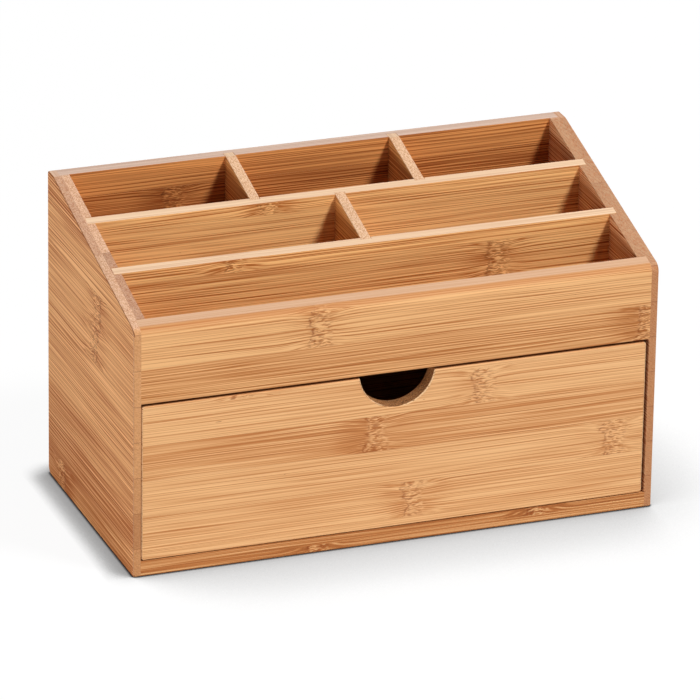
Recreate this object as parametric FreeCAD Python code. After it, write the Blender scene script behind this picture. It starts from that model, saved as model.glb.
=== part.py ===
import FreeCAD
import Part
import math
import os

# Desk organizer of laminated bamboo with one drawer. Three stepped rows of open bays stand over a
# drawer bay: three bays at the back, two in the middle and one long bay at the front. No metal
# holds the case: each board is glued into a rabbet, groove or housing cut in its neighbour. The
# tops of the sides, dividers and front rail are sanded to one plane that falls towards the front.
# X runs along the front, Y from the front to the back, Z up. The origin is the middle of the base.

Vector = FreeCAD.Vector
along_x = Vector(1, 0, 0)
along_y = Vector(0, 1, 0)

# Case: overall size, boards and the falling top
case_width = 335.0
case_depth = 166.0
case_height = 200.0
front_edge_height = 159.5
crown_flat = 11.5
board = 10.5
base_board = 10.0
front_board = 10.5
thin_board = 6.5
bay_height = 101.75
rear_bays = 3
middle_bays = 2

# Case: rounded corners of the side outline, and eased edges
nose_round = 6.0
crown_round = 8.0
crest_round = 1.5
heel_round = 5.0
toe_round = 1.3
arris = 0.9
fine_arris = 0.4

# Case: how deep the boards are let into each other, and the glue on each side of a housed board
rabbet_depth = 4.7
side_housing = 4.5
back_housing = 5.0
divider_housing = 2.0
glue_line = 0.1

# Drawer: running gaps, and how far it stands to the left of the middle of its bay
side_gap = 1.2
top_gap = 1.6
run_gap = 0.4
stop_gap = 0.3
rear_gap = 2.0
drawer_shift = 0.8

# Drawer: front, box and bottom panel
front_corner = 2.0
front_arris = 0.8
box_height = 84.0
front_housing = 4.0
rear_rabbet = 3.0
panel = 3.0
panel_groove = 3.0
panel_lift = 5.0

# Drawer: finger notch, part of a circle whose centre lies above the top edge of the front
notch_radius = 24.0
notch_centre_rise = 3.0
notch_corner = 0.8

# Overrun of every cut, and how near a point counts as on a face
overrun = 1.0
touch = 0.001

# Planes that follow from the sizes above
front = -case_depth / 2
back = case_depth / 2
outer = case_width / 2
inner = outer - board
rabbet_wall = outer - rabbet_depth
housing_wall = inner + side_housing
rail_back = front + front_board
back_face = back - board
slope_top = back - crown_flat
slope = (case_height - front_edge_height) / (slope_top - front)
shelf_bottom = base_board + bay_height
shelf_top = shelf_bottom + thin_board
row_depth = (back_face - rail_back - 2 * thin_board) / 3
front_divider = rail_back + row_depth
rear_divider = front_divider + thin_board + row_depth

drawer_bottom = base_board + run_gap
drawer_top = shelf_bottom - top_gap
drawer_half = rabbet_wall - side_gap
drawer_shoulder = rail_back - stop_gap
box_half = inner - side_gap
box_inside = box_half - thin_board
box_rear = back_face - rear_gap
box_back_face = box_rear - thin_board
box_top = drawer_bottom + box_height
panel_bottom = drawer_bottom + panel_lift


def block(x_from, x_to, y_from, y_to, z_from, z_to):
    """A plain block between three pairs of planes, given in either order."""
    low = Vector(min(x_from, x_to), min(y_from, y_to), min(z_from, z_to))
    return Part.makeBox(abs(x_to - x_from), abs(y_to - y_from), abs(z_to - z_from), low)


def cut_away(solid, tools):
    """The solid with every tool cut away from it."""
    return solid.cut(Part.Compound(tools))


def eased(solid, radius, wanted):
    """The solid with every edge that the test picks rounded by the radius."""
    return solid.makeFillet(radius, [edge for edge in solid.Edges if wanted(edge)])


def runs(edge, axis):
    """True for a straight edge parallel to an axis."""
    return isinstance(edge.Curve, Part.Line) and edge.Curve.Direction.cross(axis).Length < touch


def lies(edge, axis, place):
    """True for an edge whose ends both lie at one place along an axis."""
    return all(abs(vertex.Point.dot(axis) - place) < touch for vertex in edge.Vertexes)


def on_falling_top(edge):
    """True for an edge in the plane that the tops of the boards are sanded to."""
    heights = [front_edge_height + slope * (vertex.Y - front) for vertex in edge.Vertexes]
    return all(abs(vertex.Z - z) < touch for vertex, z in zip(edge.Vertexes, heights))


def case_outline():
    """The side view of the case, as a face in the YZ plane with a tangent arc at each corner."""
    corners = [
        (front, 0, toe_round),
        (back, 0, heel_round),
        (back, case_height, crest_round),
        (slope_top, case_height, crown_round),
        (front, front_edge_height, nose_round),
    ]
    points = [Vector(0, y, z) for y, z, _ in corners]
    arcs = []
    for i, (_, _, radius) in enumerate(corners):
        before = (points[i - 1] - points[i]).normalize()
        after = (points[(i + 1) % len(points)] - points[i]).normalize()
        half_angle = before.getAngle(after) / 2
        reach = radius / math.tan(half_angle)
        inset = radius / math.sin(half_angle) - radius
        middle = points[i] + (before + after).normalize() * inset
        arcs.append((points[i] + before * reach, middle, points[i] + after * reach))
    edges = []
    for i, (start, middle, end) in enumerate(arcs):
        edges.append(Part.LineSegment(arcs[i - 1][2], start).toShape())
        edges.append(Part.Arc(start, middle, end).toShape())
    return Part.Face(Part.Wire(edges))


def case_bar(x_from, x_to):
    """A bar of the case's side view, which every board that reaches the outside is cut from."""
    outline = case_outline()
    outline.translate(Vector(min(x_from, x_to), 0, 0))
    return outline.extrude(Vector(abs(x_to - x_from), 0, 0))


def divider_places(bays):
    """The left faces of the dividers that part a row into equal bays."""
    bay = (2 * inner - (bays - 1) * thin_board) / bays
    return [(i + 1) * bay + i * thin_board - inner for i in range(bays - 1)]


rear_places = divider_places(rear_bays)
middle_places = divider_places(middle_bays)


def side_panel(hand):
    """A side: rabbets for rail, back and base, a groove for the shelf, housings for dividers."""
    solid = case_bar(hand * inner, hand * outer)
    solid = eased(solid, arris, lambda edge: lies(edge, along_x, hand * outer))
    solid = eased(solid, fine_arris, lambda edge: lies(edge, along_x, hand * inner)
                  and on_falling_top(edge))
    open_face = hand * (inner - overrun)
    above = case_height + overrun
    rabbet = hand * rabbet_wall
    housing = hand * housing_wall
    cuts = [
        block(open_face, rabbet, front - overrun, rail_back, -overrun, above),
        block(open_face, rabbet, back_face, back + overrun, -overrun, above),
        block(open_face, rabbet, front - overrun, back + overrun, -overrun, base_board),
        block(open_face, housing, front, back_face, shelf_bottom - glue_line,
              shelf_top + glue_line),
    ]
    for y in (front_divider, rear_divider):
        cuts.append(block(open_face, housing, y - glue_line, y + thin_board + glue_line,
                          shelf_top, above))
    return cut_away(solid, cuts)


def base_panel():
    """The base: lies in the lower rabbets of the sides and is flush with them all round."""
    return case_bar(-rabbet_wall, rabbet_wall).common(
        block(-rabbet_wall, rabbet_wall, front, back, 0, base_board))


def cross_housings(places, y_from, y_to):
    """Upright housings for the ends of cross dividers, open at the top."""
    return [block(x - glue_line, x + thin_board + glue_line, y_from, y_to,
                  shelf_top, case_height + overrun) for x in places]


def back_panel():
    """The back: stands on the base in the rear rabbets, with housings for the cross dividers."""
    solid = case_bar(-rabbet_wall, rabbet_wall).common(
        block(-rabbet_wall, rabbet_wall, back_face, back, base_board, case_height))
    solid = eased(solid, fine_arris, lambda edge: runs(edge, along_x)
                  and lies(edge, along_y, back_face) and edge.Vertexes[0].Z > shelf_top)
    return cut_away(solid, cross_housings(rear_places, back_face - overrun,
                                          back_face + back_housing))


def front_rail():
    """The fixed rail over the drawer: fills the front rabbets and follows the falling top."""
    solid = case_bar(-rabbet_wall, rabbet_wall).common(
        block(-rabbet_wall, rabbet_wall, front, rail_back, shelf_bottom, case_height))
    return eased(solid, fine_arris, lambda edge: runs(edge, along_x) and (
        (lies(edge, along_y, rail_back) and edge.Vertexes[0].Z > shelf_top)
        or (lies(edge, along_y, front) and edge.Vertexes[0].Z < shelf_top)))


def shelf():
    """The floor of the bays and roof of the drawer bay, held in the grooves of the sides."""
    return block(-housing_wall, housing_wall, rail_back, back_face, shelf_bottom, shelf_top)


def long_divider(y_from, places_behind, places_before):
    """A divider from side to side, cut to the falling top, with housings for cross dividers."""
    y_to = y_from + thin_board
    solid = case_bar(-housing_wall, housing_wall).common(
        block(-housing_wall, housing_wall, y_from, y_to, shelf_top, case_height))
    solid = eased(solid, fine_arris, lambda edge: runs(edge, along_x) and on_falling_top(edge))
    return cut_away(solid, cross_housings(places_behind, y_to - divider_housing, y_to + overrun)
                    + cross_housings(places_before, y_from - overrun, y_from + divider_housing))


def cross_divider(x_from, y_from, y_to):
    """A short divider from front to back, with its ends let into the boards it meets."""
    x_to = x_from + thin_board
    solid = case_bar(x_from, x_to).common(
        block(x_from, x_to, y_from, y_to, shelf_top, case_height))
    return eased(solid, fine_arris, lambda edge: on_falling_top(edge)
                 and not runs(edge, along_x))


def drawer_front():
    """The drawer front with its finger notch, housed at the back for the box and its bottom."""
    solid = block(-drawer_half, drawer_half, front, drawer_shoulder, drawer_bottom, drawer_top)
    solid = eased(solid, front_corner, lambda edge: runs(edge, along_y))
    notch_centre = Vector(0, front - overrun, drawer_top + notch_centre_rise)
    solid = solid.cut(Part.makeCylinder(notch_radius, front_board + 2 * overrun, notch_centre,
                                        along_y))
    solid = eased(solid, notch_corner, lambda edge: runs(edge, along_y)
                  and abs(edge.Vertexes[0].X) < notch_radius)
    solid = eased(solid, front_arris, lambda edge: lies(edge, along_y, front))
    cuts = [block(-box_half, box_half, drawer_shoulder - panel_groove, drawer_shoulder + overrun,
                  panel_bottom - glue_line, panel_bottom + panel + glue_line)]
    for hand in (-1, 1):
        cuts.append(block(hand * (box_inside - glue_line), hand * (box_half + glue_line),
                          drawer_shoulder - front_housing, drawer_shoulder + overrun,
                          drawer_bottom - overrun, box_top + glue_line))
    return cut_away(solid, cuts)


def drawer_side(hand):
    """A side of the drawer box: it slides on the base, and holds the bottom and the box's back."""
    y_from = drawer_shoulder - front_housing
    solid = block(hand * box_inside, hand * box_half, y_from, box_rear, drawer_bottom, box_top)
    solid = eased(solid, fine_arris, lambda edge: runs(edge, along_y))
    open_face = hand * (box_inside - overrun)
    return cut_away(solid, [
        block(open_face, hand * (box_inside + panel_groove), y_from - overrun,
              box_back_face + panel_groove, panel_bottom - glue_line,
              panel_bottom + panel + glue_line),
        block(open_face, hand * (box_inside + rear_rabbet), box_back_face, box_rear + overrun,
              drawer_bottom - overrun, box_top + overrun),
    ])


def drawer_back():
    """The back of the drawer box, let into the rabbets of its sides."""
    half = box_inside + rear_rabbet
    solid = block(-half, half, box_back_face, box_rear, drawer_bottom, box_top)
    solid = eased(solid, fine_arris, lambda edge: runs(edge, along_x)
                  and edge.Vertexes[0].Z > panel_bottom)
    return solid.cut(block(-box_half, box_half, box_back_face - overrun,
                           box_back_face + panel_groove, panel_bottom - glue_line,
                           panel_bottom + panel + glue_line))


def drawer_bottom_panel():
    """The thin bottom of the drawer, held on all four edges in the grooves."""
    half = box_inside + panel_groove
    return block(-half, half, drawer_shoulder - panel_groove, box_back_face + panel_groove,
                 panel_bottom, panel_bottom + panel)


case_pieces = {
    "left_side": side_panel(-1),
    "right_side": side_panel(1),
    "base_panel": base_panel(),
    "back_panel": back_panel(),
    "front_rail": front_rail(),
    "shelf": shelf(),
    "rear_long_divider": long_divider(rear_divider, rear_places, middle_places),
    "front_long_divider": long_divider(front_divider, middle_places, []),
}
for name, x in zip(("rear_left_cross_divider", "rear_right_cross_divider"), rear_places):
    case_pieces[name] = cross_divider(x, rear_divider + thin_board - divider_housing,
                                      back_face + back_housing)
case_pieces["middle_cross_divider"] = cross_divider(
    middle_places[0], front_divider + thin_board - divider_housing,
    rear_divider + divider_housing)

drawer_pieces = {
    "drawer_front": drawer_front(),
    "drawer_left_side": drawer_side(-1),
    "drawer_right_side": drawer_side(1),
    "drawer_back": drawer_back(),
    "drawer_bottom_panel": drawer_bottom_panel(),
}
for solid in drawer_pieces.values():
    solid.translate(Vector(-drawer_shift, 0, 0))

os.makedirs("parts", exist_ok=True)
for name, shape in {**case_pieces, **drawer_pieces}.items():
    shape.exportStep("parts/" + name + ".step")
    print(name, len(shape.Solids), "solid", "valid" if shape.isValid() else "NOT VALID",
          round(shape.Volume), "mm3")
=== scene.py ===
import random
from math import radians, tau

import bmesh
import bpy
from mathutils import Euler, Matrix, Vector


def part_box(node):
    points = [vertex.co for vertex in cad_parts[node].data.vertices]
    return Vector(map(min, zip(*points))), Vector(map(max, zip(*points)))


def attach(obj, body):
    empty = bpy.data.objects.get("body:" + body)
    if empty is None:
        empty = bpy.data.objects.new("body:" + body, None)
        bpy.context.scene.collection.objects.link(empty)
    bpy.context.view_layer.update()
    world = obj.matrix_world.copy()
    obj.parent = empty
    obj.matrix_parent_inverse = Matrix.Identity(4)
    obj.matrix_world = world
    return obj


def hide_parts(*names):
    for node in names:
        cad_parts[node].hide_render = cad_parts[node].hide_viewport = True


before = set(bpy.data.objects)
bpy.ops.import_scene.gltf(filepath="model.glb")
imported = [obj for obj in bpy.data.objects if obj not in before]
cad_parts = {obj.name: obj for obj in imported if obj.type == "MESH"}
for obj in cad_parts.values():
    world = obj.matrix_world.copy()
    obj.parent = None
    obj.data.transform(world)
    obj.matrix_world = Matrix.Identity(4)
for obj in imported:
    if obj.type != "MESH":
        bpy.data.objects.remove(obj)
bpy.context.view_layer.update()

# The camera
# It stands a long way off, above and to the left of the organizer, and looks down at
# the front with a long lens. It is tipped by less than a degree.
lens = bpy.data.cameras.new("camera")
lens.lens = 335.48
lens.clip_start = 0.1
lens.clip_end = 20
camera = bpy.data.objects.new("camera", lens)
camera.location = (-1.29303, -3.44629, 1.63203)
camera.rotation_euler = Euler([radians(turn) for turn in (67.3039, -0.8605, -20.2008)])
bpy.context.collection.objects.link(camera)
bpy.context.scene.camera = camera
bpy.context.scene.view_settings.view_transform = "Standard"

# The two sides
# Each is a 10.5 mm panel of bamboo, glued up from two plies of strips that run from front
# to back, then cut to its sloped outline, rounded at the nose and crown, and sanded.
mm = 0.001
strip_width = 23 * mm
glue_line = 0.02 * mm
overreach = 1 * mm
weld = 0.001 * mm
sharpest_bend = 0.7
front_edge_height = 159.5 * mm
crown_flat = 11.5 * mm
side_low, side_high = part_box("left_side")
fall = (side_high[2] - front_edge_height) / (side_high[1] - crown_flat - side_low[1])
falling_top = Vector((0, -fall, 1)).normalized()
axes = {"x": Vector((1, 0, 0)), "y": Vector((0, 1, 0)), "z": Vector((0, 0, 1))}
ways = ("Along", "Across", "Through")
strip_facts = ("tone", "knuckle", "middle")
shades = ("pale", "streak", "brown", "rosy", "sawn", "edge", "arris")

# A strip's tone is dark below nought and pale above it. Its knuckle lies so many mm along the
# grain, and a strip without one has it off the board
tone_swing = 0.6
knuckle_swing = 300
no_knuckle = 400


def join(tree, socket, value):
    """Gives an input a value, or the output that feeds it."""
    if isinstance(value, bpy.types.NodeSocket):
        tree.links.new(value, socket)
    else:
        socket.default_value = value


def add(tree, kind, inputs=None, **settings):
    """Adds a node with its settings and inputs, and gives back its outputs."""
    made = tree.nodes.new(kind)
    for name, value in settings.items():
        setattr(made, name, value)
    for name, value in (inputs or {}).items():
        join(tree, made.inputs[name], value)
    return made.outputs


def reckon(tree, operation, *values):
    """A step of arithmetic, or a chain of the same step where there are more than two values."""
    made = add(tree, "ShaderNodeMath", dict(enumerate(values[:2])), operation=operation)[0]
    return reckon(tree, operation, made, *values[2:]) if len(values) > 2 else made


def total(tree, *values):
    """All the values added up."""
    return reckon(tree, "ADD", *values)


def less(tree, value, taken):
    """What is left of a value once so much is taken from it."""
    return reckon(tree, "SUBTRACT", value, taken)


def times(tree, *values):
    """All the values multiplied."""
    return reckon(tree, "MULTIPLY", *values)


def size_of(tree, value):
    """A number without its sign."""
    return reckon(tree, "ABSOLUTE", value)


def reckon_place(tree, operation, *values):
    """One step of arithmetic on three numbers at once."""
    made = add(tree, "ShaderNodeVectorMath", dict(enumerate(values)), operation=operation)
    return made["Value" if operation == "DOT_PRODUCT" else "Vector"]


def ramp(tree, value, low, high, to_low=0.0, to_high=1.0, kind="SMOOTHSTEP"):
    """Carries a value from one range to another, and holds it at both ends."""
    ends = {"Value": value, 1: low, 2: high, 3: to_low, 4: to_high}
    return add(tree, "ShaderNodeMapRange", ends, interpolation_type=kind)[0]


def trimmed_strips(tree, given):
    """Lays a strip on each point and trims them all to the outline of the solid."""
    blank = add(tree, "GeometryNodeMeshCube", {"Size": given["Strip size"]})["Mesh"]
    laying = {"Points": given["Strips"], "Instance": blank}
    laid = add(tree, "GeometryNodeInstanceOnPoints", laying)[0]
    glued = add(tree, "GeometryNodeRealizeInstances", {0: laid})[0]
    outline = add(tree, "GeometryNodeObjectInfo", {"Object": given["Outline"]})["Geometry"]
    trimming = tree.nodes.new("GeometryNodeMeshBoolean")
    trimming.operation = "INTERSECT"
    trimming.solver = "EXACT"
    for part in (glued, outline):
        tree.links.new(part, trimming.inputs["Mesh"])
    return trimming.outputs["Mesh"]


def keep(tree, board, name, value, kind="FLOAT", domain="FACE"):
    """Writes a fact on the board, for the finish to read, and gives back the board."""
    facts = {"Geometry": board, "Name": name, "Value": value}
    return add(tree, "GeometryNodeStoreNamedAttribute", facts, data_type=kind, domain=domain)[0]


def reach_along(tree, given, direction, way):
    """How far a place or a direction reaches along one of the board's ways."""
    return reckon_place(tree, "DOT_PRODUCT", direction, given[way])


def told_strips(tree, given, board):
    """Tells each point its place in the grain, and each face the strip that it belongs to."""
    strips = given["Strips"]
    spot = add(tree, "GeometryNodeInputPosition")[0]
    lay = {number: reach_along(tree, given, spot, way) for number, way in enumerate(ways)}
    lay = add(tree, "ShaderNodeCombineXYZ", lay)[0]
    board = keep(tree, board, "lay", lay, "FLOAT_VECTOR", "POINT")
    nearest = {"Geometry": strips, "Sample Position": spot}
    strip = add(tree, "GeometryNodeSampleNearest", nearest)[0]
    for name in strip_facts:
        known = add(tree, "GeometryNodeInputNamedAttribute", {"Name": name}, data_type="FLOAT")[0]
        asked = {"Geometry": strips, "Value": known, "Index": strip}
        board = keep(tree, board, name, add(tree, "GeometryNodeSampleIndex", asked)[0])
    chance = {"Min": (0, 0, 0), "Max": (9, 9, 9), "ID": strip, "Seed": given["Seed"]}
    shift = add(tree, "FunctionNodeRandomValue", chance, data_type="FLOAT_VECTOR")[0]
    return keep(tree, board, "shift", shift, "FLOAT_VECTOR")


def notch_wall(tree, given, outward):
    """One on the wall of the routed notch, and nought elsewhere."""
    spot = add(tree, "GeometryNodeInputPosition")[0]
    offset = reckon_place(tree, "SUBTRACT", spot, given["Notch middle"])
    sides = [reach_along(tree, given, offset, way) for way in ("Along", "Across")]
    squares = [reckon(tree, "POWER", side, 2.0) for side in sides]
    distance = reckon(tree, "SQRT", total(tree, *squares))
    within = reckon(tree, "LESS_THAN", distance, given["Notch radius"])
    return times(tree, within, reckon(tree, "LESS_THAN", size_of(tree, outward), 0.5))


def rounded_arris(tree, given, facing, outward):
    """One on the arrises, whose faces lean away from each of the board's ways."""
    topward = reach_along(tree, given, facing, "Cut top")
    square = size_of(tree, topward)
    for way in ways:
        straight = size_of(tree, reach_along(tree, given, facing, way))
        square = reckon(tree, "MAXIMUM", square, straight)
    sideways = add(tree, "ShaderNodeSeparateXYZ", {0: facing})[0]
    leaning = less(tree, topward, 0.2)
    leans = [size_of(tree, lean) for lean in (sideways, outward, leaning)]
    return times(
        tree,
        ramp(tree, square, 0.94, 0.99, 1.0, 0.0),
        *[ramp(tree, lean, 0.05, 0.2) for lean in leans],
        ramp(tree, leaning, 0.4, 0.6, 1.0, 0.0),
    )


def told_faces(tree, given, board):
    """Tells each face whether it crosses the grain, or is a top edge, the notch or an arris."""
    facing = add(tree, "GeometryNodeInputNormal")["Normal"]
    upward = add(tree, "ShaderNodeSeparateXYZ", {0: facing})[2]
    along, across, outward = [reach_along(tree, given, facing, way) for way in ways]
    board = keep(tree, board, "cut", size_of(tree, along))
    board = keep(tree, board, "rim", times(tree, across, upward))
    board = keep(tree, board, "routed", notch_wall(tree, given, outward))
    return keep(tree, board, "arris", rounded_arris(tree, given, facing, outward))


def glued_strips():
    """The tree that lays strips side by side, glues them and trims them to a board's outline."""
    tree = bpy.data.node_groups.new("glued_strips", "GeometryNodeTree")
    wanted = {
        "Strips": "Geometry",
        "Outline": "Object",
        "Strip size": "Vector",
        "Along": "Vector",
        "Across": "Vector",
        "Through": "Vector",
        "Cut top": "Vector",
        "Notch middle": "Vector",
        "Notch radius": "Float",
        "Seed": "Int",
        "Finish": "Material",
    }
    for name, kind in wanted.items():
        tree.interface.new_socket(name, in_out="INPUT", socket_type="NodeSocket" + kind)
    tree.interface.new_socket("Board", in_out="OUTPUT", socket_type="NodeSocketGeometry")
    given = add(tree, "NodeGroupInput")
    board = trimmed_strips(tree, given)
    board = told_strips(tree, given, board)
    board = told_faces(tree, given, board)

    # Rounded edges are shaded smooth, and corners stay crisp
    bend = add(tree, "GeometryNodeInputMeshEdgeAngle")["Unsigned Angle"]
    gentle = reckon(tree, "LESS_THAN", bend, sharpest_bend)
    for domain, smooth in (("FACE", True), ("EDGE", gentle)):
        shading = {0: board, "Shade Smooth": smooth}
        board = add(tree, "GeometryNodeSetShadeSmooth", shading, domain=domain)[0]
    whole = add(tree, "GeometryNodeRealizeInstances", {0: board})[0]
    coating = {"Geometry": whole, "Material": given["Finish"]}
    add(tree, "NodeGroupOutput", {"Board": add(tree, "GeometryNodeSetMaterial", coating)[0]})
    return tree


def read_fact(tree, name, output="Fac"):
    """What the board was told about each of its faces or points."""
    return add(tree, "ShaderNodeAttribute", attribute_name=name)[output]


def noise(tree, place, along, across, detail=2.0, roughness=0.5):
    """A soft pattern with so many turns to the metre along the grain and across it."""
    stretched = reckon_place(tree, "MULTIPLY", place, (along, across, across))
    wanted = {"Vector": stretched, "Scale": 1.0, "Detail": detail, "Roughness": roughness}
    return add(tree, "ShaderNodeTexNoise", wanted)[0]


def swing(tree, pattern, reach):
    """A pattern from 0 to 1, made to swing about nought by half the reach to each side."""
    return times(tree, less(tree, pattern, 0.5), reach)


def close_to(tree, value, middle, reach):
    """One where the value is at its middle, and nought once it is a reach away."""
    return ramp(tree, size_of(tree, less(tree, value, middle)), 0, reach, 1.0, 0.0)


def mixed(tree, share, first, second):
    """The first colour with a share of the second in it."""
    return add(tree, "ShaderNodeMix", {0: share, 6: first, 7: second}, data_type="RGBA")[2]


def knuckle_marks(tree, place, past):
    """A ragged knot, a broken ring before it, a halo round both and a stain on one side."""
    ragged_by, knot_core, knot_end = 13 * mm, 3.5 * mm, 10 * mm
    ring_place, ring_reach = -6 * mm, 1.3 * mm
    halo_reach, stain_full, stain_end = 34 * mm, -7 * mm, -4 * mm
    raggedness = noise(tree, place, along=60, across=190, detail=3)
    ragged = total(tree, past, swing(tree, raggedness, ragged_by))
    knot = ramp(tree, size_of(tree, ragged), knot_core, knot_end, 1.0, 0.0)
    broken = ramp(tree, noise(tree, place, along=25, across=420), 0.4, 0.6)
    ring = times(tree, close_to(tree, ragged, ring_place, ring_reach), broken)
    halo = close_to(tree, past, 0, halo_reach)
    rising = ramp(tree, past, -halo_reach, stain_full)
    stained = times(tree, rising, ramp(tree, past, stain_full, stain_end, 1.0, 0.0))
    return knot, ring, halo, stained


def drifted(tree, place, off_middle, knot, halo):
    """The places of the fibres, which sway along the strip, swirl in the knot and flare by it."""
    sway = swing(tree, noise(tree, place, along=4, across=25), 2.5 * mm)
    swirl = swing(tree, noise(tree, place, along=150, across=230, detail=1), 2.2 * mm)
    flare = times(tree, off_middle, halo, halo, 0.15)
    drift = total(tree, sway, times(tree, knot, swirl), flare)
    moved = add(tree, "ShaderNodeCombineXYZ", {1: drift, 2: drift})[0]
    return reckon_place(tree, "ADD", place, moved)


def dark_lines(tree, wavy, spacing, wander):
    """Dark lines along the grain, so far apart, that wander and come and go."""
    sideways = reckon_place(tree, "DOT_PRODUCT", wavy, (0, 1, 0.6))
    wandering = swing(tree, noise(tree, wavy, along=3, across=wander), 3.5)
    turns = total(tree, times(tree, sideways, 1 / spacing), wandering)
    strength = ramp(tree, noise(tree, wavy, along=9, across=wander * 2.2, detail=1), 0.35, 0.65)
    return times(tree, reckon(tree, "SINE", times(tree, turns, tau)), strength)


def veins(tree, place, wavy):
    """Fine hairs, and a few wider veins, that come and go."""
    hair = close_to(tree, noise(tree, wavy, along=3, across=420, detail=1), 0.5, 0.14)
    hair_comes = ramp(tree, noise(tree, place, along=7, across=70, detail=1), 0.35, 0.7)
    vein = close_to(tree, noise(tree, wavy, along=3.5, across=170, detail=1), 0.5, 0.04)
    vein_comes = ramp(tree, noise(tree, place, along=9, across=60, detail=1), 0.4, 0.65)
    return total(tree, times(tree, hair, hair_comes, 0.12), times(tree, vein, vein_comes, 0.08))


def depth(tree, place, wavy, streaks, fibres, tone, halo, stained):
    """How deep the colour is: pale at nought, a full streak at one, and browner past that."""
    bands = noise(tree, wavy, along=2.5, across=110)
    cloud = noise(tree, place, along=12, across=40)
    frayed = ramp(tree, noise(tree, wavy, along=22, across=420), 0.35, 0.7)
    dark_strip = ramp(tree, tone, -1.0, 0.6, 0.42, 0.0)
    streaked = ramp(tree, streaks, 0.3, 0.6, 0.3, 1.0)
    deep = total(
        tree,
        0.4,
        times(tree, tone, -0.42),
        swing(tree, fibres, 1.9),
        swing(tree, streaks, 0.1),
        swing(tree, bands, 0.1),
        swing(tree, cloud, 0.2),
        times(tree, dark_lines(tree, wavy, 1.5 * mm, 260), 0.5),
        times(tree, dark_lines(tree, wavy, 2.1 * mm, 170), 0.375),
        veins(tree, place, wavy),
        times(tree, halo, frayed, 0.38),
        times(tree, stained, dark_strip, streaked),
    )
    return add(tree, "ShaderNodeClamp", {0: deep, 1: -0.2, 2: 1.6})[0]


def cut_ends(tree, given, place, tone, grit, steep):
    """The colour of a cut across the grain, rosy on a slant or in the notch, porous when square. The
    drawer's near-black rosy is darker end grain and painted shade in its notch.
    """
    pores = ramp(tree, noise(tree, place, along=420, across=700, roughness=0.8), 0.42, 0.6)
    sawn = mixed(tree, times(tree, grit, 0.7), given["rosy"], given["streak"])
    sawn = mixed(tree, times(tree, steep, 0.85), sawn, given["sawn"])
    sawn = mixed(tree, times(tree, tone, -0.3), sawn, given["brown"])
    return mixed(tree, times(tree, steep, pores, 0.16), sawn, given["brown"])


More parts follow.
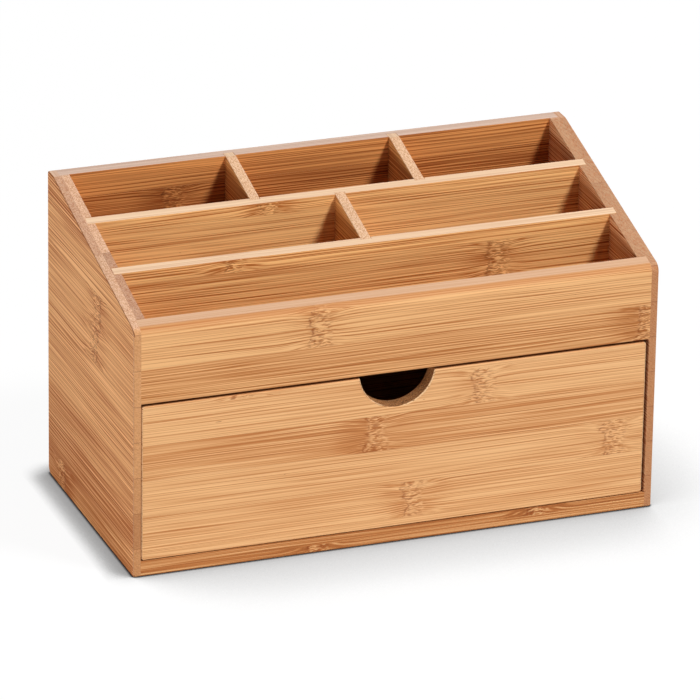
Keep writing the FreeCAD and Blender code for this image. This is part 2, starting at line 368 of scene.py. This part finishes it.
def bamboo_grain():
    """The pattern of bamboo: fibres along each strip, the knuckle across it, speckle on cut ends."""
    tree = bpy.data.node_groups.new("bamboo_grain", "ShaderNodeTree")
    for name in shades:
        tree.interface.new_socket(name, in_out="INPUT", socket_type="NodeSocketColor")
    for name, kind in (("Colour", "Color"), ("Roughness", "Float"), ("Height", "Float")):
        tree.interface.new_socket(name, in_out="OUTPUT", socket_type="NodeSocket" + kind)
    given = add(tree, "NodeGroupInput")

    # Places in the strip: from its middle line, and past its knuckle
    lay = read_fact(tree, "lay", "Vector")
    place = reckon_place(tree, "ADD", lay, read_fact(tree, "shift", "Vector"))
    along, across, _ = add(tree, "ShaderNodeSeparateXYZ", {0: lay})
    off_middle = less(tree, across, read_fact(tree, "middle"))
    past = less(tree, along, read_fact(tree, "knuckle"))
    tone = read_fact(tree, "tone")
    knot, ring, halo, stained = knuckle_marks(tree, place, past)
    wavy = drifted(tree, place, off_middle, knot, halo)

    # The strip's face
    streaks = noise(tree, wavy, along=4, across=230, detail=1)
    fibres = noise(tree, wavy, along=7, across=1350, detail=1, roughness=0.6)
    deep = depth(tree, place, wavy, streaks, fibres, tone, halo, stained)
    within = add(tree, "ShaderNodeClamp", {0: deep})[0]
    colour = mixed(tree, within, given["pale"], given["streak"])
    colour = mixed(tree, ramp(tree, deep, 0.8, 1.6, 0.0, 0.4), colour, given["brown"])

    # The knot's pale and dark curls, its real fibre colour that also stands as painted highlight and
    # shade on its ridges, and specks all over
    curls = noise(tree, wavy, along=270, across=1050, detail=1, roughness=0.6)
    light = times(tree, ramp(tree, curls, 0.54, 0.64), knot)
    dark = times(tree, ramp(tree, curls, 0.38, 0.5, 1.0, 0.0), knot)
    marks = reckon(tree, "MAXIMUM", dark, ring)
    specks = ramp(tree, noise(tree, place, along=160, across=700, detail=1), 0.8, 0.86)
    light_share = ramp(tree, past, -8 * mm, 4 * mm, 0.4, 0.9)
    marks_share = ramp(tree, past, -8 * mm, 6 * mm, 0.65, 0.3)
    colour = mixed(tree, times(tree, light, light_share), colour, given["pale"])
    colour = mixed(tree, times(tree, marks, marks_share), colour, given["brown"])
    colour = mixed(tree, times(tree, specks, 0.7), colour, given["brown"])

    # Cuts across the grain
    cut, routed = read_fact(tree, "cut"), read_fact(tree, "routed")
    ends = reckon(tree, "MAXIMUM", ramp(tree, cut, 0.08, 0.24), routed)
    steep = times(tree, ramp(tree, cut, 0.35, 0.9), less(tree, 1.0, routed))
    grit = ramp(tree, noise(tree, place, along=1100, across=1400, roughness=0.8), 0.42, 0.62)
    sawn = cut_ends(tree, given, place, tone, grit, steep)
    colour = mixed(tree, times(tree, ends, 0.85), colour, sawn)

    # Top edges with the grain: the rounded nose is darkened toward streak as painted shade that
    # tones down its highlight, and the planed flat top takes the edge shade
    rim, side_grain = read_fact(tree, "rim"), less(tree, 1.0, ends)
    nose_shade = times(tree, ramp(tree, rim, 0.1, 0.4), side_grain)
    flat = times(tree, ramp(tree, rim, 0.75, 0.92), side_grain)
    planed = mixed(tree, times(tree, within, 0.3), given["edge"], given["streak"])
    colour = mixed(tree, times(tree, nose_shade, 0.6), colour, given["streak"])
    colour = mixed(tree, times(tree, flat, 0.85), colour, planed)

    # The glue between two strips, and a line in dashes along the arris in the arris shade, which on
    # the drawer is paler and partly a painted highlight on its rounded edges
    half_strip = strip_width / 2
    glue = ramp(tree, size_of(tree, off_middle), half_strip - 0.3 * mm, half_strip)
    glue_share = times(tree, glue, total(tree, times(tree, steep, 0.6), 0.1))
    colour = mixed(tree, glue_share, colour, given["brown"])
    arris = read_fact(tree, "arris")
    arris_dashes = ramp(tree, noise(tree, place, along=500, across=900, roughness=0.7), 0.3, 0.5)
    colour = mixed(tree, times(tree, arris, arris_dashes, 0.9), colour, given["arris"])

    # What a finger would feel, and how dull the lacquer is
    height = total(
        tree,
        times(tree, streaks, 0.4),
        times(tree, fibres, 0.4),
        times(tree, marks, -0.2),
        times(tree, light, 0.3),
        times(tree, glue, -0.3),
        times(tree, ends, grit, 0.4),
    )
    wear = times(tree, arris, -0.08)
    dullness = total(tree, 0.54, times(tree, within, 0.12), times(tree, ends, 0.15), wear)
    add(tree, "NodeGroupOutput", {"Colour": colour, "Roughness": dullness, "Height": height})
    return tree


def plain_light(red, green, blue):
    """A colour as a screen shows it, from 0 to 255, turned into the light it stands for."""
    return (*[((part / 255 + 0.055) / 1.055) ** 2.4 for part in (red, green, blue)], 1.0)


grain = bamboo_grain()


def bamboo(name, **colours):
    """Bamboo in its own seven shades, with a thin coat of satin lacquer."""
    finish = bpy.data.materials.new(name)
    finish.use_nodes = True
    tree = finish.node_tree
    tree.nodes.clear()
    pattern = tree.nodes.new("ShaderNodeGroup")
    pattern.node_tree = grain
    for shade, colour in colours.items():
        pattern.inputs[shade].default_value = plain_light(*colour)
    relief = {"Height": pattern.outputs["Height"], "Strength": 0.5, "Distance": 0.12 * mm}
    coat = {
        "Base Color": pattern.outputs["Colour"],
        "Roughness": pattern.outputs["Roughness"],
        "Normal": add(tree, "ShaderNodeBump", relief)[0],
        "Specular IOR Level": 0.12,
    }
    surface = add(tree, "ShaderNodeBsdfPrincipled", coat)[0]
    add(tree, "ShaderNodeOutputMaterial", {"Surface": surface})
    return finish


board_tree = glued_strips()


def merged_outline(node):
    """A copy of a solid with its loose triangles merged, to trim the strips by."""
    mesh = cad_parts[node].data.copy()
    mesh.attributes.remove(mesh.attributes["custom_normal"])
    mesh.materials.clear()
    shape = bmesh.new()
    shape.from_mesh(mesh)
    bmesh.ops.remove_doubles(shape, verts=shape.verts, dist=weld)
    shape.to_mesh(mesh)
    shape.free()
    outline = bpy.data.objects.new(node + "_outline", mesh)
    bpy.context.collection.objects.link(outline)
    return outline


def strip_points(name, centres, facts):
    """A point for the middle of each strip, which carries what is known of the strip."""
    mesh = bpy.data.meshes.new(name)
    mesh.from_pydata(centres, [], [])
    for fact, values in facts.items():
        mesh.attributes.new(fact, "FLOAT", "POINT").data.foreach_set("value", values)
    points = bpy.data.objects.new(name, mesh)
    bpy.context.collection.objects.link(points)
    return points


def glued_board(
    node,
    body,
    finish,
    along,
    across,
    first,
    seed,
    known=None,
    plies=2,
    cut_top=falling_top,
    notch=(0.0, 0.0, 0.0, 0.0),
):
    """A board laid up from strips inside the outline of one solid.

    The grain runs along one axis and the strips lie side by side across another, the first of
    them from a given place. known gives the tone of a strip and the place of its knuckle, by its
    ply and its number in it; the others vary freely. cut_top is the way that a cut edge faces,
    and notch is the middle and the reach of a finger notch.
    """
    name = node.removesuffix("_panel").removesuffix("_divider") + "_board"
    known = known or {}
    low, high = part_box(node)
    a, b = "xyz".index(along), "xyz".index(across)
    c = 3 - a - b
    size = [0, 0, 0]
    size[a] = high[a] - low[a] + 2 * overreach
    size[b] = strip_width - glue_line
    size[c] = (high[c] - low[c] + 2 * overreach) / plies - glue_line / 2

    chance = random.Random(seed)
    rows = int((high[b] - first) / strip_width) + 1
    centres, facts = [], {fact: [] for fact in strip_facts}
    for ply in range(plies):
        for row in range(rows):
            tone = chance.uniform(-tone_swing, tone_swing)
            knuckle = chance.uniform(-knuckle_swing, knuckle_swing)
            tone, knuckle = known.get((ply, row), (tone, knuckle))
            centre = [(near + far) / 2 for near, far in zip(low, high)]
            centre[b] = first + (row + 0.5) * strip_width
            centre[c] += (ply - (plies - 1) / 2) * (size[c] + glue_line)
            centres.append(centre)
            for fact, value in zip(strip_facts, (tone, knuckle * mm, centre[b])):
                facts[fact].append(value)

    outline = merged_outline(node)
    laid = strip_points(name + "_strips", centres, facts)
    gluing = laid.modifiers.new("gluing", "NODES")
    gluing.node_group = board_tree
    asked = {
        "Outline": outline,
        "Strip size": size,
        "Along": axes[along],
        "Across": axes[across],
        "Through": axes["xyz"[c]],
        "Cut top": cut_top,
        "Notch middle": notch[:3],
        "Notch radius": notch[3],
        "Seed": seed,
        "Finish": finish,
    }
    for socket in board_tree.interface.items_tree:
        if socket.in_out == "INPUT" and socket.name in asked:
            gluing[socket.identifier] = asked[socket.name]
    laid.modifiers.new("even_shading", "WEIGHTED_NORMAL").keep_sharp = True
    ready = laid.evaluated_get(bpy.context.evaluated_depsgraph_get())
    board = bpy.data.objects.new(name, bpy.data.meshes.new_from_object(ready))
    board.data.name = name
    bpy.context.collection.objects.link(board)
    bpy.data.objects.remove(laid)
    bpy.data.objects.remove(outline)
    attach(board, body)
    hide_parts(node)


left_bamboo = bamboo(
    "left_bamboo_grain",
    pale=(250, 196, 138),
    streak=(179, 106, 56),
    brown=(118, 50, 20),
    rosy=(240, 201, 171),
    sawn=(213, 156, 102),
    edge=(238, 206, 180),
    arris=(124, 72, 40),
)
left_known = {
    (0, 0): (-0.6, 55),
    (0, 1): (-1.1, no_knuckle),
    (0, 2): (-0.5, no_knuckle),
    (0, 3): (-0.15, no_knuckle),
    (0, 4): (-0.15, no_knuckle),
    (0, 5): (0.0, -7),
    (0, 6): (-0.1, -13),
    (0, 7): (0.0, no_knuckle),
    (0, 8): (-0.7, no_knuckle),
    (1, 5): (0.3, no_knuckle),
    (1, 6): (-0.2, no_knuckle),
    (1, 7): (-1.0, -70),
    (1, 8): (0.2, no_knuckle),
}
glued_board(
    "left_side",
    "case",
    left_bamboo,
    along="y",
    across="z",
    first=-4.6 * mm,
    seed=11,
    known=left_known,
)

# The right side's shades are paler and redder than the left's: painted light and reddish bounce for
# its inner face in the shade of the bays
right_bamboo_painted_light = bamboo(
    "right_bamboo_painted_light_grain",
    pale=(255, 212, 166),
    streak=(186, 104, 58),
    brown=(110, 40, 12),
    rosy=(191, 152, 119),
    sawn=(184, 124, 80),
    edge=(218, 176, 144),
    arris=(148, 90, 54),
)
right_tones = (-0.1, 0.0, 0.1)
right_known = {
    (ply, row): (right_tones[(row + ply) % 3], no_knuckle) for ply in (0, 1) for row in range(9)
}
glued_board(
    "right_side",
    "case",
    right_bamboo_painted_light,
    along="y",
    across="z",
    first=-2 * mm,
    seed=12,
    known=right_known,
)

# The base
# A 10 mm panel of two plies, grain from side to side. It lies in rabbets along the feet of
# the two sides, and its front edge shows under the drawer.
case_bamboo = bamboo(
    "case_bamboo_grain",
    pale=(238, 186, 130),
    streak=(188, 121, 68),
    brown=(124, 56, 24),
    rosy=(227, 188, 159),
    sawn=(212, 156, 106),
    edge=(228, 188, 155),
    arris=(148, 90, 54),
)
base_known = {(0, 0): (-1.35, -50), (1, 0): (-1.2, 92)}
glued_board(
    "base_panel",
    "case",
    case_bamboo,
    along="x",
    across="y",
    first=-84 * mm,
    seed=21,
    known=base_known,
)

# The back
# A 10.5 mm panel as tall as the sides, grain from side to side. It stands on the base and is
# glued into the rear rabbets of the sides.
back_bamboo = bamboo(
    "back_bamboo_grain",
    pale=(228, 156, 90),
    streak=(152, 82, 36),
    brown=(96, 48, 22),
    rosy=(218, 176, 146),
    sawn=(200, 145, 97),
    edge=(234, 207, 188),
    arris=(214, 170, 130),
)
back_known = {(0, 7): (-0.45, -90), (0, 8): (0.2, no_knuckle), (1, 8): (-0.3, no_knuckle)}
glued_board(
    "back_panel",
    "case",
    back_bamboo,
    along="x",
    across="z",
    first=0,
    seed=31,
    known=back_known,
)

# The front rail
# A 10.5 mm board over the drawer, glued into the front rabbets of the sides, with its top
# planed to their slope.
rail_known = {
    (0, 0): (-0.4, 161),
    (0, 1): (0.3, -50),
    (0, 2): (0.2, -49),
    (1, 1): (0.1, no_knuckle),
    (1, 2): (0.1, no_knuckle),
}
glued_board(
    "front_rail",
    "case",
    case_bamboo,
    along="x",
    across="z",
    first=111.4 * mm,
    seed=41,
    known=rail_known,
)

# The shelf
# A 6.5 mm board of one ply, slid into grooves of the sides. It is the floor of the bays and
# the roof over the drawer.
glued_board(
    "shelf",
    "case",
    case_bamboo,
    along="x",
    across="y",
    first=-80 * mm,
    seed=51,
    plies=1,
)

# The long dividers
# Two 6.5 mm boards from side to side, let into housings in the sides and planed on top to
# their slope.
divider_bamboo = bamboo(
    "divider_bamboo_grain",
    pale=(250, 197, 130),
    streak=(184, 111, 55),
    brown=(120, 56, 22),
    rosy=(252, 216, 182),
    sawn=(214, 159, 111),
    edge=(252, 222, 188),
    arris=(246, 214, 176),
)
long_dividers = {
    "rear_long_divider": (110 * mm, 61, {(0, 2): (0.3, no_knuckle), (0, 3): (0.0, -46)}),
    "front_long_divider": (119.5 * mm, 62, {(0, 1): (-0.1, 84), (0, 2): (0.0, -86)}),
}
for node, (first, seed, known) in long_dividers.items():
    glued_board(
        node,
        "case",
        divider_bamboo,
        along="x",
        across="z",
        first=first,
        seed=seed,
        known=known,
        plies=1,
    )

# The cross dividers
# Three short 6.5 mm boards, grain from front to back, let into the long dividers and the
# back, two in the rear row and one in the middle row.
cross_known = {(0, row): (-0.15, no_knuckle) for row in range(4)}
cross_dividers = {
    "rear_left_cross_divider": 71,
    "rear_right_cross_divider": 72,
    "middle_cross_divider": 73,
}
for node, seed in cross_dividers.items():
    glued_board(
        node,
        "case",
        divider_bamboo,
        along="y",
        across="z",
        first=115 * mm,
        seed=seed,
        known=cross_known,
        plies=1,
    )

# The drawer front
# A 10.2 mm board with eased edges, let in between the sides, the rail and the base, with a
# half-round notch for a finger, routed through its top edge.
drawer_bamboo = bamboo(
    "drawer_bamboo_grain",
    pale=(240, 190, 136),
    streak=(202, 136, 82),
    brown=(140, 64, 26),
    # rosy, the notch wall, is a near-black brown: darker end grain and painted shade in the notch
    rosy=(60, 24, 6),
    sawn=(172, 120, 78),
    # edge, on the top edges, is dark brown so that the gap over the drawer reads black: painted
    # shade. The box's top edges share it
    edge=(142, 94, 58),
    # arris is paler on the rounded edges of the front, partly a painted highlight
    arris=(246, 205, 158),
)
notch_radius = 24 * mm
notch_centre_rise = 3 * mm
notch_margin = 0.6 * mm
drawer_low, drawer_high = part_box("drawer_front")
notch_across = (drawer_low[0] + drawer_high[0]) / 2
notch_height = drawer_high[2] + notch_centre_rise
notch = (notch_across, 0.0, notch_height, notch_radius + notch_margin)
drawer_known = {
    (0, 0): (0.1, no_knuckle),
    (0, 1): (0.1, 11),
    (0, 2): (0.2, 141),
    (0, 3): (-0.62, -14),
    (0, 4): (0.35, 55),
    (0, 5): (0.3, -98),
}
glued_board(
    "drawer_front",
    "drawer",
    drawer_bamboo,
    along="x",
    across="z",
    first=-7.5 * mm,
    seed=81,
    known=drawer_known,
    cut_top=axes["x"],
    notch=notch,
)

# The drawer's box
# Two sides and a back of 6.5 mm board, grooved round the inside for the bottom. The sides
# are glued into the front, and the back into the rabbets of the sides.
box_boards = {
    "drawer_left_side": ("y", 91),
    "drawer_right_side": ("y", 92),
    "drawer_back": ("x", 93),
}
for node, (along, seed) in box_boards.items():
    glued_board(
        node,
        "drawer",
        drawer_bamboo,
        along=along,
        across="z",
        first=5 * mm,
        seed=seed,
        plies=1,
    )

# The drawer's bottom
# A 3 mm sheet of one ply, grain from side to side, slid into the grooves of the box and of
# the front.
panel_bamboo = bamboo(
    "panel_bamboo_grain",
    pale=(230, 184, 134),
    streak=(198, 140, 88),
    brown=(130, 76, 42),
    rosy=(222, 176, 140),
    sawn=(206, 152, 106),
    edge=(232, 190, 150),
    arris=(232, 190, 150),
)
glued_board(
    "drawer_bottom_panel",
    "drawer",
    panel_bamboo,
    along="x",
    across="y",
    first=-80 * mm,
    seed=101,
    plies=1,
)

# The table and the studio
# White all round. The table's glow is dimmed where the organizer closes it in, as painted shade
# under the organizer's edges, with a faint real cast shadow. One lamp stands high at the front
# right, and pale panels stand low round about.
half_table = 6.0
table_drop = 0.01 * mm
edges = (-half_table, half_table)
corners = [(x, y, -table_drop) for x in edges for y in edges]
table_mesh = bpy.data.meshes.new("table")
table_mesh.from_pydata(corners, [], [(0, 2, 3, 1)])
table = bpy.data.objects.new("table", table_mesh)
bpy.context.collection.objects.link(table)


def background_rays(tree):
    """One for the rays that show the background, and nought for those that light the object."""
    ray = add(tree, "ShaderNodeLightPath")
    seen = (ray["Is Camera Ray"], ray["Is Glossy Ray"], ray["Is Transmission Ray"])
    return reckon(tree, "MAXIMUM", *seen)


def openness(tree, reach, toward=None):
    """How free the table lies, from 0 to 1, of things within a reach, overhead or to one side."""
    asked = {"Distance": reach}
    if toward:
        asked["Normal"] = add(tree, "ShaderNodeCombineXYZ", dict(enumerate(toward)))[0]
    return add(tree, "ShaderNodeAmbientOcclusion", asked, samples=8)["AO"]


def grey(light):
    """A plain grey of so much light."""
    return (light, light, light, 1)


table_white = bpy.data.materials.new("table_white")
table_white.use_nodes = True
tree = table_white.node_tree
tree.nodes.clear()
beside = openness(tree, 18 * mm, toward=(0.75, -0.4, 0.53))
before = openness(tree, 100 * mm, toward=(-0.5, 0.55, 0.67))
crease = openness(tree, 2.5 * mm)
# Painted shade: the glow is dimmed by how closed in the table is to each side and at the organizer's
# feet
shade = times(
    tree,
    ramp(tree, beside, 0.5, 0.92, 0.33, 1.0, "LINEAR"),
    ramp(tree, before, 0.25, 0.75, 0.5, 1.0, "LINEAR"),
    ramp(tree, crease, 0.55, 0.9, 0.06, 1.0),
)
glow = add(tree, "ShaderNodeEmission", {"Strength": times(tree, shade, 0.95)})[0]
faint = add(tree, "ShaderNodeBsdfDiffuse", {"Color": grey(0.06)})[0]
shown = add(tree, "ShaderNodeAddShader", {0: glow, 1: faint})[0]
bounced = add(tree, "ShaderNodeBsdfDiffuse", {"Color": grey(0.52)})[0]
surface = add(tree, "ShaderNodeMixShader", {0: background_rays(tree), 1: bounced, 2: shown})[0]
add(tree, "ShaderNodeOutputMaterial", {"Surface": surface})
table_mesh.materials.append(table_white)

world = bpy.data.worlds.new("white_room")
world.use_nodes = True
tree = world.node_tree
tree.nodes.clear()
room_light = 0.11
strength = ramp(tree, background_rays(tree), 0, 1, room_light, 1.0, "LINEAR")
room = add(tree, "ShaderNodeBackground", {"Color": (1, 1, 1, 1), "Strength": strength})[0]
add(tree, "ShaderNodeOutputWorld", {"Surface": room})
bpy.context.scene.world = world


def lamp(name, place, aim, width, height, power, colour=(1, 1, 1)):
    """A flat lamp turned to what it lights."""
    light = bpy.data.lights.new(name, "AREA")
    light.shape = "RECTANGLE"
    light.size = width
    light.size_y = height
    light.energy = power
    light.color = colour
    held = bpy.data.objects.new(name, light)
    held.location = place
    held.rotation_euler = (Vector(aim) - Vector(place)).to_track_quat("-Z", "Y").to_euler()
    bpy.context.collection.objects.link(held)


middle_height = (0, 0, 0.1)
warm_white = (1, 0.89, 0.77)
lamp("high_lamp", (2.47, -2.95, 4.7), middle_height, 1.1, 1.1, 362)
lamp("left_panel", (-2.4, -0.7, 0.07), (0, 0, 0.07), 2.0, 0.12, 30, warm_white)
lamp("front_panel", (-0.4, -2.8, 0.25), middle_height, 2.0, 0.5, 4)
lamp("back_panel", (0.3, 2.4, 0.25), middle_height, 2.0, 0.5, 20)
